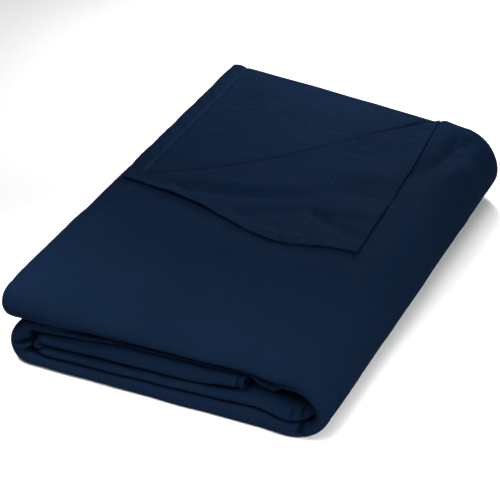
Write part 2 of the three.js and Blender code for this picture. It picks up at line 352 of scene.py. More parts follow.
# The noses droop above and sag below, within these lengths behind the front line. The outer ply's columns are
# closer together from a little behind the droop.
SAG_ABOVE, SAG_ABOVE_LENGTH = 4.0, 32.0
SAG_BELOW, SAG_BELOW_LENGTH = 7.0, 15.0
SAG_CLEAR = 4.0
# The third ply makes room for the dip in the second, which ends at the right
DIP_ROOM, DIP_ROOM_ENDS = 1.2, (60.0, 90.0)
# Columns through the plies, from the far edge of the outer ply to the end of the second
OUTER_STEPS, SAG_STEPS, NOSE_STEPS = 38, 8, 14
UNDER_REACHES, UNDER_STEPS, TURN_STEPS, THIRD_STEPS = (3, 7, 12, 18), 4, 4, 4
SECOND_HIDDEN_STEPS, SECOND_STEPS, SECOND_HEM_STEPS = 5, 44, 15


def second_seam(x):
    """Where the second ply's wide end hem is sewn down."""
    return SECOND_SEAM + SEAM_BEND * (1 - ease(x, LEFT, LEFT + SEAM_BEND_OVER))


def band_columns():
    """y of the cloth's middle and its level in the band at every station, and the ply of each column."""
    ys, levels, plies = [], [], []

    def column(ply, y, level):
        ys.append(np.broadcast_to(y, COUNT))
        levels.append(np.broadcast_to(level, COUNT))
        plies.append(ply)

    def run(ply, start, end, steps, level):
        """Columns between two places, without the places themselves."""
        for i in range(1, steps):
            column(ply, between(start, end, i / steps), level)

    def turn(ply, y, reach, level, next_level, steps):
        """Half a turn from one level to the next, towards the front where its reach is negative."""
        for i in range(steps + 1):
            angle = math.pi * i / steps
            round_level = between(level, next_level, (1 - math.cos(angle)) / 2)
            column(ply, y + reach * math.sin(angle), round_level)

    second, third, lower = OUTER - PITCH, OUTER - 2 * PITCH, OUTER - THICK
    sag_at = FRONT + SAG_ABOVE_LENGTH + SAG_CLEAR
    column("outer", FAR_EDGE, OUTER)
    run("outer", FAR_EDGE, sag_at, OUTER_STEPS, OUTER)
    column("outer", sag_at, OUTER)
    run("outer", sag_at, NOSE_START, SAG_STEPS, OUTER)
    turn("nose", NOSE_START, -DEPTH, OUTER, lower, NOSE_STEPS)
    for reach in UNDER_REACHES:
        column("under", NOSE_START + reach, lower)
    turn_at = BACK - TURN_SHORT
    run("under", NOSE_START + UNDER_REACHES[-1], turn_at, UNDER_STEPS, lower)
    turn("turn", turn_at, PITCH / 2, lower, third, TURN_STEPS)
    inner_nose = NOSE_START + INNER_NOSE_BACK
    room_for_dip = DIP_ROOM * TOP * (1 - ease(X, *DIP_ROOM_ENDS))
    run("third", turn_at, inner_nose, THIRD_STEPS, third - room_for_dip)
    turn("inner nose", inner_nose, -PITCH / 2, third, second, TURN_STEPS)
    run("second", inner_nose, SECOND_SHOWS, SECOND_HIDDEN_STEPS, second)
    column("second", SECOND_SHOWS, second)
    seam, end = second_seam(X), BACK - SECOND_PLY_SHORT
    run("second", SECOND_SHOWS, seam - SECOND_SEAM_ROOM, SECOND_STEPS, second)
    for off in (-SECOND_SEAM_ROOM, *SEAM_OFFSETS, SECOND_SEAM_ROOM):
        column("second", seam + off, second)
    run("second", seam + SECOND_SEAM_ROOM, end - 1, SECOND_HEM_STEPS, second)
    column("second", end - 1, second)
    column("second", end, second)
    return np.array(ys).T, np.array(levels).T, np.array(plies)


Y, LEVEL, PLIES = band_columns()
IN_PLY = {ply: PLIES == ply for ply in set(PLIES)}
ON_TOP = IN_PLY["outer"] & TOP[:, None]
ON_SECOND = IN_PLY["second"] & TOP[:, None]
# Height in the band, 1 at its upper side and 0 at its lower
HEIGHT = 1 - (OUTER[:, None] - LEVEL) / THICK[:, None]

# The outer ply's slight unevenness, as the height of two ripples that cross, and for each of the two its
# shares of the place along and across, its wave lengths and its start
UNEVENNESS = [
    (0.5, (1.0, 0.3, (61, 97), 0.0), (-0.4, 1.0, (113, 71), 2.0)),
    (0.2, (0.5, 1.0, (27, 41), 0.0), (1.0, -0.6, (53, 79), 1.0)),
]
# How much the plies under the outer one follow its folds, which end down the right side
SECOND_FOLLOWS, INNER_FOLLOWS = 0.6, 0.15
FOLDS_END = (140.0, 175.0)
# The turned-back corner presses the outer ply down, from inside its fold and its free edge
UNDER_FLAP, PRESS_FROM_FOLD, PRESS_FROM_EDGE = 2.0, (4.0, 22.0), (10, 28)
PRESS_FROM_LEFT, PRESS_PAST_FOLD = (0.12, 0.3), (-6, 4)
# Puckers and the grooves of the seams: the second ply's side hem, its end hem, and the top's side hem. A slant
# is how far a pucker's crest runs askew to the hem.
SIDE_PUCKER, SIDE_PUCKER_WAVES, SIDE_PUCKER_SLANT = 1.9, (7.7, 11.3, 19.0), 0.9
SIDE_PUCKER_AT, SIDE_PUCKER_WIDTH, SIDE_PUCKER_LEAST = 8.0, 5.0, 0.15
SIDE_PUCKER_STEADY, SIDE_PUCKER_SWELLS = 0.7, (61,)
LEFT_EDGE_FADES = (9, 20)
END_PUCKER, END_PUCKER_WAVES, END_PUCKER_SLANT, END_PUCKER_WIDTH = 0.5, (8.3, 13.1), 0.4, 9.0
END_GROOVE, SEAM_WIDTH = 0.1, 1.1
SIDE_GROOVE, SIDE_GROOVE_WIDTH = 1.0, 1.3
TOP_PUCKER, TOP_PUCKER_WAVES, TOP_PUCKER_FADES = 0.25, (9.7, 15.1, 27.0), (8, 18)
# The second ply dips beside the corner's fold: its depth, where it starts under the roll, where it rises
# again, and where it fades out at the left and before the back. The fold's slant, near the left and further on,
# turns a run in y into one square to the fold.
FOLD_DIP, DIP_STARTS, DIP_ENDS = 3.8, (-7.0, 0.0), (8.5, 14.5)
DIP_FROM_LEFT, DIP_BEFORE_BACK = (0.0, 0.2), (-16, -4)
SLANT_LEFT, SLANT_FAR, SLANT_CHANGES = 0.7, 0.58, (0.35, 0.7)
# At the left the second ply stands out and wanders, the outer ply's edge draws in to the fold, and the near
# corner's lower plies are tucked in. The pleats fade out behind the noses.
SECOND_PLY_PROUD, PROUD_OVER = 2.6, 30.0
SECOND_WANDER, SECOND_WANDER_WAVES = 0.5, (37, 71)
DRAWN_IN_OVER = 70.0
CORNER_TUCK, TUCK_ENDS = 7.0, (8.0, 40.0)
PLEAT_ENDS = (3.0, 14.0)


def top_waves(along, y):
    """Height of the outer ply's soft folds over its plain place."""
    waves = sum(soft_fold(along, y, row) for row in TOP_FOLDS)
    for height, *crossing in UNEVENNESS:
        for along_share, y_share, lengths, start in crossing:
            height = height * ripple(along_share * along + y_share * y, lengths, start)
        waves = waves + height
    return waves


def pressed_down():
    """How far the turned-back corner presses the outer ply down."""
    edge = free_edge(SHARE)[:, 1:]
    inside = ease(FAR_EDGE[:, None] - Y, *PRESS_FROM_FOLD)
    inside = inside * ease(Y, edge + PRESS_FROM_EDGE[0], edge + PRESS_FROM_EDGE[1])
    ends = np.where(IN_FLAP, ease(SHARE, *PRESS_FROM_LEFT), 1 - ease(X - FOLD_FAR[0], *PRESS_PAST_FOLD))
    return UNDER_FLAP * (inside * ends[:, None]) * ON_TOP


def near_left(x):
    """1 along the left edge, fading out past the side hem."""
    return 1 - ease(x - LEFT, *LEFT_EDGE_FADES)


def second_relief(x):
    """Height of the second ply's soft folds, puckered hems and seams, and its dip beside the corner's fold."""
    relief = sum(soft_fold(x, Y, row) for row in SECOND_FOLDS)
    puckered = between(SIDE_PUCKER_LEAST, 1.0, bell(x - LEFT - SIDE_PUCKER_AT, SIDE_PUCKER_WIDTH))
    puckered = puckered * between(SIDE_PUCKER_STEADY, 1.0, ripple(Y, SIDE_PUCKER_SWELLS))
    side_puckers = SIDE_PUCKER * ripple(Y + SIDE_PUCKER_SLANT * x, SIDE_PUCKER_WAVES)
    relief = relief + side_puckers * puckered * near_left(x)
    off_seam = Y - second_seam(x)
    end_puckers = END_PUCKER * ripple(x + END_PUCKER_SLANT * Y, END_PUCKER_WAVES)
    relief = relief + end_puckers * bell(off_seam, END_PUCKER_WIDTH)
    relief = relief - END_GROOVE * bell(off_seam, SEAM_WIDTH)
    relief = relief - SIDE_GROOVE * bell(x - LEFT - SIDE_HEM, SIDE_GROOVE_WIDTH)
    share = SHARE[:, None]
    beyond = between(SLANT_LEFT, SLANT_FAR, ease(share, *SLANT_CHANGES)) * (Y - FAR_EDGE[:, None])
    dip = FOLD_DIP * ease(share, *DIP_FROM_LEFT) * ease(beyond, *DIP_STARTS) * (1 - ease(beyond, *DIP_ENDS))
    return relief - dip * (1 - ease(Y - BACK[:, None], *DIP_BEFORE_BACK))


def band_middle():
    """The middle surface of the band, with its soft folds, hem puckers and pinched noses."""
    x, z, nx, nz, along = (v[:, None] for v in (X, Z, NX, NZ, ALONG))
    behind = Y - FRONT[:, None]
    inside_height = np.clip(HEIGHT, 0.0, 1.0)

    sag = between(SAG[:, None] * SAG_BELOW, DROOP[:, None] * SAG_ABOVE, HEIGHT)
    sag_length = between(SAG_BELOW_LENGTH, SAG_ABOVE_LENGTH, HEIGHT)
    level = LEVEL - sag * (1 - ease(behind, 0.0, sag_length))
    follows = np.where(IN_PLY["nose"], inside_height, INNER_FOLLOWS)
    follows = np.where(IN_PLY["outer"], 1.0, np.where(IN_PLY["second"], SECOND_FOLLOWS, follows))
    on_outside = np.where(OUTSIDE[:, None], 1 - ease(along, *FOLDS_END), 0.0)
    level = level + top_waves(along, Y) * follows * on_outside
    level = level - pressed_down()
    level = level + np.where(ON_SECOND, second_relief(x), 0.0)
    left_hem = (1 - ease(x - LEFT, *TOP_PUCKER_FADES)) * ON_TOP
    level = level + TOP_PUCKER * left_hem * ripple(Y, TOP_PUCKER_WAVES)

    stands_out = SECOND_PLY_PROUD * (1 - ease(x, LEFT, LEFT + PROUD_OVER))
    stands_out = stands_out - SECOND_WANDER * ripple(Y, SECOND_WANDER_WAVES) * near_left(x)
    drawn_in = ease(Y, FAR_EDGE[:, None] - DRAWN_IN_OVER, FAR_EDGE[:, None])
    drawn_in = (FOLD_LEFT[0] - LEFT) * (1 - SHARE[:, None]) * drawn_in
    tucked = CORNER_TUCK * (IN_CORNER[:, None] * (1 - inside_height)) ** 2
    tucked = tucked * (1 - ease(behind, *TUCK_ENDS))
    px = x - np.where(ON_SECOND, stands_out, 0.0) + tucked + nx * level
    px = px + np.where(IN_PLY["outer"] & IN_FLAP[:, None], drawn_in, 0.0)
    pz = z + nz * level
    pinch = sum(soft_fold(px, pz, (*pleat, 0.0, 0.0)) for pleat in NOSE_PLEATS)
    at_nose = IN_PLY["nose"] | IN_PLY["outer"] | IN_PLY["under"]
    py = Y + pinch * (1 - ease(behind, *PLEAT_ENDS)) * at_nose
    return np.stack([px, py, pz], axis=2)


# Radius of the corner's roll at the left, in the middle and at the far end, and where it changes, as shares of
# the corner's width
ROLL_LEFT, ROLL, ROLL_FAR = 1.1, 2.8, 0.5
ROLL_GROWS, ROLL_SHRINKS = (0.0, 0.2), (0.75, 1.0)
# How high the corner lies over the top, which is more near the left and less towards the tip
FLAP_RISE, RISE_MORE, RISE_LESS = 2.2, 1.4, 0.5
RISE_MORE_FROM, RISE_MORE_TO, NEAR_TIP = (0.02, 0.25), (0.35, 0.6), (0.8, 1.0)
# It settles from the roll to that height within these shares of its length, takes up the top's waves, falls a
# share of the roll at once, and is loose enough for folds of its own behind the roll
SETTLES_FROM, SETTLED, SETTLED_AT_TIP = 0.1, 1.0, 0.4
TAKES_UP_WAVES = 0.6
ROLL_FALL, ROLL_FALL_OVER, ROLL_FALL_ENDS = 0.42, 16.0, 0.5
LOOSE_OVER, LOOSE_FROM_LEFT = 14.0, (0.0, 0.1)
# Its free edge lifts, and its hems pucker and are sewn down as the second ply's are
EDGE_LIFT, EDGE_LIFT_OVER = 0.5, 2.0
FLAP_SIDE_PUCKER, FLAP_SIDE_WAVES, FLAP_SIDE_SLANT = 0.6, (8.3, 13.1, 27.0), 0.5
FLAP_SIDE_FADES, FLAP_SIDE_FROM_LEFT = (8.0, 18.0), (0.04, 0.14)
FLAP_END_PUCKER, FLAP_END_WAVES, FLAP_END_WIDTH = 0.4, (7.9, 12.7), 8.0
FLAP_END_GROOVE = 1.2
FLAP_SIDE_GROOVE, FLAP_SIDE_GROOVE_WIDTH = 0.35, 1.5
# Columns from the free edge to the fold, closer together at the edge
FLAP_HEM_STEPS, FLAP_HEM_CLOSER, FLAP_STEPS, ROLL_STEPS = 8, 1.3, 53, 10


def corner_relief(at, share, back, ahead):
    """Height of the turned-back corner's soft folds, lifted edge, puckered hems and seams."""
    loose = ease(back, 0.0, LOOSE_OVER) * ease(share, *LOOSE_FROM_LEFT)
    relief = loose * sum(soft_fold(at[:, 0], at[:, 1], row) for row in FLAP_FOLDS)
    relief = relief + EDGE_LIFT * np.exp(-ahead / EDGE_LIFT_OVER)
    on_side_hem = (1 - ease(ahead, *FLAP_SIDE_FADES)) * ease(share, *FLAP_SIDE_FROM_LEFT)
    side_puckers = FLAP_SIDE_PUCKER * ripple(at[:, 0] + FLAP_SIDE_SLANT * at[:, 1], FLAP_SIDE_WAVES)
    relief = relief + side_puckers * on_side_hem
    off_seam = (share - END_HEM_SHARE) * (FOLD_FAR[0] - LEFT)
    end_puckers = FLAP_END_PUCKER * ripple(at[:, 1], FLAP_END_WAVES) * bell(off_seam, FLAP_END_WIDTH)
    relief = relief + loose * (end_puckers - FLAP_END_GROOVE * bell(off_seam, SEAM_WIDTH))
    return relief - FLAP_SIDE_GROOVE * loose * bell(ahead - SIDE_HEM, FLAP_SIDE_GROOVE_WIDTH)


def corner_middle():
    """The middle surface of the turned-back corner and its roll, from the free edge to the fold."""
    share = SHARE[FLAP]
    fold, edge = fold_line(share), free_edge(share)
    length = np.hypot(*(edge - fold).T)
    hem = np.minimum(SIDE_HEM, length / 2) / length
    roll = between(ROLL_LEFT, ROLL, ease(share, *ROLL_GROWS)) - (ROLL - ROLL_FAR) * ease(share, *ROLL_SHRINKS)
    base = Z[FLAP] + OUTER[FLAP]
    rise = FLAP_RISE + RISE_MORE * ease(share, *RISE_MORE_FROM) * (1 - ease(share, *RISE_MORE_TO))
    rise = rise - RISE_LESS * ease(share, *NEAR_TIP)
    settled = between(SETTLED, SETTLED_AT_TIP, ease(share, *NEAR_TIP)) * length
    shares = [1 - hem * (i / FLAP_HEM_STEPS) ** FLAP_HEM_CLOSER for i in range(FLAP_HEM_STEPS + 1)]
    shares += [between(1 - hem, 0.0, i / FLAP_STEPS) for i in range(1, FLAP_STEPS)]
    columns = []
    for t in shares:
        at = between(fold, edge, t[:, None])
        at[:, 0] += END_BOW * 4 * t * (1 - t) * share ** 4
        back = t * length
        z = base + between(2 * roll, rise, ease(back, SETTLES_FROM * length, settled))
        z = z + (top_waves(*at.T) - top_waves(*fold.T)) * ease(back, 0.0, TAKES_UP_WAVES * length)
        fall = ease(back, 0.0, ROLL_FALL_OVER) * (1 - ease(t, ROLL_FALL_ENDS, 1.0))
        z = z - ROLL_FALL * roll * fall
        z = z + corner_relief(at, share, back, length - back)
        columns.append(np.column_stack([at, z]))
    for i in range(ROLL_STEPS):
        angle = math.pi * i / ROLL_STEPS
        y = fold[:, 1] + roll * math.sin(angle)
        columns.append(np.column_stack([fold[:, 0], y, base + roll + roll * math.cos(angle)]))
    return np.stack(columns, axis=1)


# One grid holds the whole cloth: the corner's columns first, then the band's
corner = corner_middle()
CORNER = corner.shape[1]
COLUMNS = CORNER + Y.shape[1]
middle = np.zeros((COUNT, COLUMNS, 3))
middle[:, CORNER:] = band_middle()
middle[:, :CORNER] = middle[:, CORNER:CORNER + 1]
middle[FLAP, :CORNER] = corner
# The corner rises and falls with the far end of the outer ply, which it rolls out of
fold_height = middle[FLAP, CORNER, 2] - (Z[FLAP] + OUTER[FLAP])
middle[FLAP, :CORNER, 2] += fold_height[:, None]


def normals(points):
    """Unit normals towards the outer face, from the runs of the cloth along the two ways of the grid."""
    down = np.zeros_like(points)
    down[FLAP] = np.gradient(points[FLAP], axis=1)
    rest = np.setdiff1d(np.arange(COUNT), FLAP)
    down[rest, CORNER:] = np.gradient(points[rest, CORNER:], axis=1)
    side = np.zeros_like(points)
    side[:, CORNER:] = np.gradient(points[:, CORNER:], ARC, axis=0)
    side[FLAP, :CORNER] = np.gradient(points[FLAP, :CORNER], ARC[FLAP], axis=0)
    normal = np.cross(down, side)
    size = np.linalg.norm(normal, axis=2)
    return normal / np.maximum(size, 1e-9)[..., None]


normal = normals(middle)

# Hems are doubled cloth: narrow down the left side of the top's plies, wide along the sheet's end. On the
# outer ply the extra cloth lies underneath. The corner thins towards its free edge and its tip.
HEM_SLOPE = 0.8
END_HEM_SLOPE = (-0.004, 0.006)
ROLL_COLUMNS = 8
EDGE_THIN, EDGE_THIN_OVER = 0.6, 2.5
TIP_THIN, TIP_THIN_FROM = 0.45, 0.96
hem = np.zeros((COUNT, COLUMNS))
side_hem = (1 - ease(X, LEFT + SIDE_HEM - HEM_SLOPE, LEFT + SIDE_HEM + HEM_SLOPE)) * TOP
hem[:, CORNER:] = side_hem[:, None]
second_start = second_seam(X[:, None])
second_hem = ease(Y, second_start - HEM_SLOPE, second_start + 2 * HEM_SLOPE) * ON_SECOND
hem[:, CORNER:] = np.maximum(hem[:, CORNER:], second_hem)
outer_start = (FAR_EDGE - END_HEM)[:, None]
outer_hem = ease(Y, outer_start - HEM_SLOPE, outer_start + 2 * HEM_SLOPE) * IN_PLY["outer"]
outer_hem = outer_hem * OUTSIDE[:, None] * (X[:, None] > FOLD_FAR[0])
hem[:, CORNER:] = np.maximum(hem[:, CORNER:], outer_hem)
to_edge = np.linalg.norm(corner - corner[:, :1], axis=2)
hem[FLAP, :CORNER] = 1 - ease(to_edge, SIDE_HEM - HEM_SLOPE, SIDE_HEM + HEM_SLOPE)
end_hem = ease(SHARE[FLAP], END_HEM_SHARE + END_HEM_SLOPE[0], END_HEM_SHARE + END_HEM_SLOPE[1])
end_hem = end_hem[:, None] * ease(np.arange(CORNER)[::-1], 0, ROLL_COLUMNS)
hem[FLAP, :CORNER] = np.maximum(hem[FLAP, :CORNER], end_hem)
below = 0.5 * (PLY + HEM_EXTRA * hem)
thin_tip = 1 - TIP_THIN * ease(SHARE[FLAP], TIP_THIN_FROM, 1.0)
below[FLAP, :CORNER] *= thin_tip[:, None] * between(EDGE_THIN, 1.0, ease(to_edge, 0.0, EDGE_THIN_OVER))
above = below.copy()
above[:, CORNER:] = np.where(ON_TOP, 0.5 * PLY, below[:, CORNER:])
outer_face = middle + normal * above[..., None]
inner_face = middle - normal * below[..., None]

# Inner legs lie hidden, so there only every few columns of the long flat plies are kept
SECOND_KEPT, OUTER_KEPT = slice(4, None, 16), 6
outer_columns = CORNER + np.flatnonzero(IN_PLY["outer"])
second_columns = CORNER + np.flatnonzero(IN_PLY["second"])
keep_all = np.ones(COLUMNS, bool)
keep_side = keep_all.copy()
keep_side[second_columns] = False
keep_side[second_columns[SECOND_KEPT]] = True
keep_side[-1] = True
keep_inner = keep_side.copy()
keep_inner[CORNER + 1:CORNER + OUTER_STEPS] = False
keep_inner[CORNER:CORNER + OUTER_STEPS:OUTER_KEPT] = True
rows = []
for i in range(COUNT):
    kept = keep_all if TOP[i] else keep_side if OUTSIDE[i] else keep_inner
    columns = np.flatnonzero(kept)
    rows.append(columns if IN_FLAP[i] else columns[columns >= CORNER])

# The two faces of the cloth
outer_id = np.full((COUNT, COLUMNS), -1)
for i, columns in enumerate(rows):
    outer_id[i, columns] = 0
used = outer_id.ravel() == 0
outer_id.ravel()[used] = np.arange(used.sum())
inner_id = np.where(outer_id >= 0, outer_id + used.sum(), -1)
faces = []
for i in range(COUNT - 1):
    here = rows[i][rows[i] >= CORNER] if i == LAST_FLAP else rows[i]
    ahead = rows[i + 1]
    for k0, k1 in zip(ahead[:-1], ahead[1:]):
        ring = [(i, k) for k in here[(here >= k0) & (here <= k1)]] + [(i + 1, k1), (i + 1, k0)]
        faces.append([outer_id[p] for p in ring])
        faces.append([inner_id[p] for p in reversed(ring)])

# The rim runs once round the edge of the cloth and stands out from it a little
RIM_OUT = 0.8
loop = [(i, 0) for i in FLAP]
loop += [(LAST_FLAP, k) for k in range(1, CORNER + 1)]
loop += [(i, CORNER) for i in range(LAST_FLAP + 1, COUNT)]
loop += [(COUNT - 1, k) for k in rows[-1][1:]]
loop += [(i, COLUMNS - 1) for i in range(COUNT - 2, -1, -1)]
loop += [(0, k) for k in rows[0][-2:0:-1]]
loop_at = np.array([middle[p] for p in loop])
loop_run = np.roll(loop_at, -1, axis=0) - np.roll(loop_at, 1, axis=0)
loop_out = np.cross([normal[p] for p in loop], loop_run)
loop_out = loop_out / np.maximum(np.linalg.norm(loop_out, axis=1), 1e-9)[:, None]
rim = loop_at + loop_out * np.array([below[p] for p in loop])[:, None] * RIM_OUT
rim_id = 2 * used.sum() + np.arange(len(loop))
for p, q, rim_p, rim_q in zip(loop, loop[1:] + loop[:1], rim_id, np.roll(rim_id, -1)):
    faces.append([outer_id[p], outer_id[q], rim_q, rim_p])
    faces.append([rim_p, rim_q, inner_id[q], inner_id[p]])

flat_outer = outer_face.reshape(-1, 3)[used]
flat_inner = inner_face.reshape(-1, 3)[used]
points = (np.concatenate([flat_outer, flat_inner, rim]) - MIDDLE) * MM
mesh = bpy.data.meshes.new("sheet")
mesh.from_pydata(points.tolist(), [], faces)
mesh.polygons.foreach_set("use_smooth", [True] * len(mesh.polygons))

# The cloth's own map in metres: round the band, and through the plies from the middle of the nose
steps = np.linalg.norm(np.diff(middle, axis=1), axis=2)
through = np.concatenate([np.zeros((COUNT, 1)), np.cumsum(steps, axis=1)], axis=1)
nose_middle = CORNER + np.flatnonzero(IN_PLY["nose"])[NOSE_STEPS // 2]
through = through - through[:, nose_middle:nose_middle + 1]
place = np.stack([np.broadcast_to(ARC[:, None], through.shape), through], axis=2) * MM
place = place.reshape(-1, 2)[used]
rim_place = np.array([(ARC[i], through[i, k]) for i, k in loop]) * MM
point_place = np.concatenate([place, place, rim_place])
point_of = np.empty(len(mesh.loops), int)
mesh.loops.foreach_get("vertex_index", point_of)
mesh.uv_layers.new(name="cloth").data.foreach_set("uv", point_place[point_of].ravel())
point_hem = np.concatenate([hem.ravel()[used], hem.ravel()[used], [hem[p] for p in loop]])
mesh.attributes.new("hem", "FLOAT", "POINT").data.foreach_set("value", point_hem.astype(np.float32))
mesh.update()
sheet = bpy.data.objects.new("sheet", mesh)
bpy.context.scene.collection.objects.link(sheet)


def linear(hex_colour):
    """An sRGB hex colour as linear red, green, blue and alpha."""
    parts = [int(hex_colour[i:i + 2], 16) / 255 for i in (1, 3, 5)]
    return [c / 12.92 if c <= 0.04045 else ((c + 0.055) / 1.055) ** 2.4 for c in parts] + [1.0]


def add_node(tree, kind, settings=None, inputs=None, links=None):
    """A node with its settings, its input values and its links from (node, output) pairs."""
    node = tree.nodes.new(kind)
    for name, value in (settings or {}).items():
        setattr(node, name, value)
    for name, value in (inputs or {}).items():
        node.inputs[name].default_value = value
    for name, (source, output) in (links or {}).items():
        tree.links.new(source.outputs[output], node.inputs[name])
    return node


# Plain-woven cotton, piece-dyed navy and calendered: matt, with a faint sheen of loose fibre at a low angle.
# Real threads lie 0.25 mm apart. They are drawn 0.9 mm apart, because the real weave is too fine to show.
# Thick stretches of thread are 45 mm long, the dye clouds over 60 mm, and soft crumples lie about 16 mm apart,
# deeper on the hems.
THREAD, SLUB, CLOUD, CRUMPLE = 0.9, 45.0, 60.0, 16.0
WEAVE_DEPTH, CRUMPLE_DEPTH = 0.1, 4.0
NAVY_DEEP, NAVY_PALE, NAP = "#0a1627", "#0d1a2d", "#6f8fc8"
cotton = bpy.data.materials.new("navy plain-weave cotton")
cotton.use_nodes = True
tree = cotton.node_tree
tree.nodes.clear()
uv = add_node(tree, "ShaderNodeUVMap", {"uv_map": "cloth"})
split = add_node(tree, "ShaderNodeSeparateXYZ", links={0: (uv, "UV")})
waves, slubs = [], []
for way, x_size, y_size in (("X", THREAD, SLUB), ("Y", SLUB, THREAD)):
    angle = add_node(tree, "ShaderNodeMath", {"operation": "MULTIPLY"}, {1: math.pi / (THREAD * MM)},
                     {0: (split, way)})
    waves.append(add_node(tree, "ShaderNodeMath", {"operation": "SINE"}, links={0: (angle, 0)}))
    run = add_node(tree, "ShaderNodeMapping", inputs={"Scale": (1 / (x_size * MM), 1 / (y_size * MM), 1)},
                   links={0: (uv, "UV")})
    slubs.append(add_node(tree, "ShaderNodeTexNoise", inputs={"Scale": 1.0, "Detail": 1.0},
                          links={"Vector": (run, 0)}))
crossing = add_node(tree, "ShaderNodeMath", {"operation": "MULTIPLY"},
                    links={0: (waves[0], 0), 1: (waves[1], 0)})
slub = add_node(tree, "ShaderNodeMath", {"operation": "ADD"},
                links={0: (slubs[0], "Fac"), 1: (slubs[1], "Fac")})
cloud = add_node(tree, "ShaderNodeTexNoise",
                 inputs={"Scale": 1 / (CLOUD * MM), "Detail": 3.0, "Roughness": 0.55},
                 links={"Vector": (uv, "UV")})
threads = add_node(tree, "ShaderNodeMath", {"operation": "MULTIPLY_ADD"}, {1: 0.25},
                   {0: (crossing, 0), 2: (slub, 0)})
tone = add_node(tree, "ShaderNodeMath", {"operation": "ADD"}, links={0: (threads, 0), 1: (cloud, "Fac")})
pale = add_node(tree, "ShaderNodeMapRange", inputs={"From Min": 1.0, "From Max": 2.0},
                links={"Value": (tone, 0)})
colour = add_node(tree, "ShaderNodeMix", {"data_type": "RGBA"},
                  {6: linear(NAVY_DEEP), 7: linear(NAVY_PALE)}, {0: (pale, 0)})
thread_height = add_node(tree, "ShaderNodeMath", {"operation": "MULTIPLY_ADD"}, {1: 1.2},
                         {0: (crossing, 0), 2: (slub, 0)})
weave = add_node(tree, "ShaderNodeBump", inputs={"Strength": 0.1, "Distance": WEAVE_DEPTH * MM},
                 links={"Height": (thread_height, 0)})
where = add_node(tree, "ShaderNodeTexCoord")
crumple = add_node(tree, "ShaderNodeTexNoise",
                   inputs={"Scale": 1 / (CRUMPLE * MM), "Detail": 1.0, "Distortion": 0.3},
                   links={"Vector": (where, "Object")})
on_hem = add_node(tree, "ShaderNodeAttribute", {"attribute_name": "hem"})
crumpled = add_node(tree, "ShaderNodeMath", {"operation": "MULTIPLY_ADD"}, {1: 0.3, 2: 0.5},
                    {0: (on_hem, "Fac")})
relief = add_node(tree, "ShaderNodeMath", {"operation": "MULTIPLY"},
                  links={0: (crumple, "Fac"), 1: (crumpled, 0)})
soft = add_node(tree, "ShaderNodeBump", inputs={"Strength": 0.8, "Distance": CRUMPLE_DEPTH * MM},
                links={"Height": (relief, 0), "Normal": (weave, 0)})
rough = add_node(tree, "ShaderNodeMapRange", inputs={"To Min": 0.62, "To Max": 0.78},
                 links={"Value": (cloud, "Fac")})
shader = add_node(tree, "ShaderNodeBsdfPrincipled",
                  inputs={"Specular IOR Level": 0.002, "Sheen Weight": 0.003, "Sheen Roughness": 0.5,
                          "Sheen Tint": linear(NAP)},
                  links={"Base Color": (colour, 2), "Roughness": (rough, 0), "Normal": (soft, 0)})
add_node(tree, "ShaderNodeOutputMaterial", links={"Surface": (shader, "BSDF")})
mesh.materials.append(cotton)

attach(sheet, "root")
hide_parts("folded_sheet")

# The hem stitching: lockstitch in matching polyester thread, between three and four stitches to the
# centimetre. Rows hold down the narrow side hems and the wide end hems, and some sink a little into the cloth.
STITCH_PITCH, STITCH_LENGTH, THREAD_WIDTH, STITCH_UNEVEN = 2.9, 2.1, 0.45, 0.12
SUNK, PROUD = 0.2, -0.1
# The corner's side row lies this share of a column inside its hem
INSIDE_SEAM = 0.2


def on_face(face, stations, columns):
    """Points of one face of the cloth and their normals. A column may lie between two of the grid's."""
    low = np.minimum(np.floor(columns).astype(int), COLUMNS - 2)
    part = (columns - low)[:, None]
    side = 1.0 if face is outer_face else -1.0
    spots = between(face[stations, low], face[stations, low + 1], part)
    return spots, side * between(normal[stations, low], normal[stations, low + 1], part)


def column_at(stations, columns, wanted):
    """The column, whole or between two, where each station's y reaches the wanted one."""
    found = []
    for station, y in zip(stations, wanted):
        line = middle[station, columns, 1]
        order = np.argsort(line)
        found.append(np.interp(y, line[order], columns[order]))
    return np.array(found)


hem_station = int(np.argmin(np.abs(X[:LAST_FLAP] - (LEFT + SIDE_HEM))))
end_station = int(np.argmin(np.abs(SHARE[:LAST_FLAP] - END_HEM_SHARE)))
hem_to_fold = np.arange(hem_station, LAST_FLAP)
end_seam_columns = column_at(hem_to_fold, second_columns, second_seam(X[hem_to_fold]))
# Each row: the face that it shows on, its stations, its columns, and how far it sinks in
stitch_rows = [
    (inner_face, hem_to_fold, end_seam_columns, PROUD),
    (inner_face, hem_station, second_columns[SECOND_HIDDEN_STEPS:-1], 0.0),
    (outer_face, hem_station, outer_columns[1:-2], SUNK),
    (inner_face, end_station, np.arange(FLAP_HEM_STEPS, CORNER - ROLL_STEPS - 1), 0.0),
    (inner_face, hem_to_fold, FLAP_HEM_STEPS - INSIDE_SEAM, SUNK),
]
path_points, path_edges, path_normals = [], [], []
for face, stations, columns, sink in stitch_rows:
    stations, columns = np.broadcast_arrays(stations, np.asarray(columns, float))
    spots, ups = on_face(face, stations, columns)
    spots = spots - sink * ups
    start = len(path_points)
    path_points += ((spots - MIDDLE) * MM).tolist()
    path_normals += ups.tolist()
    path_edges += [(start + j, start + j + 1) for j in range(len(spots) - 1)]
path = bpy.data.meshes.new("stitch rows")
path.from_pydata(path_points, path_edges, [])
path.attributes.new("up", "FLOAT_VECTOR", "POINT").data.foreach_set("vector", np.ravel(path_normals))
stitching = bpy.data.objects.new("hem_stitching", path)
bpy.context.scene.collection.objects.link(stitching)

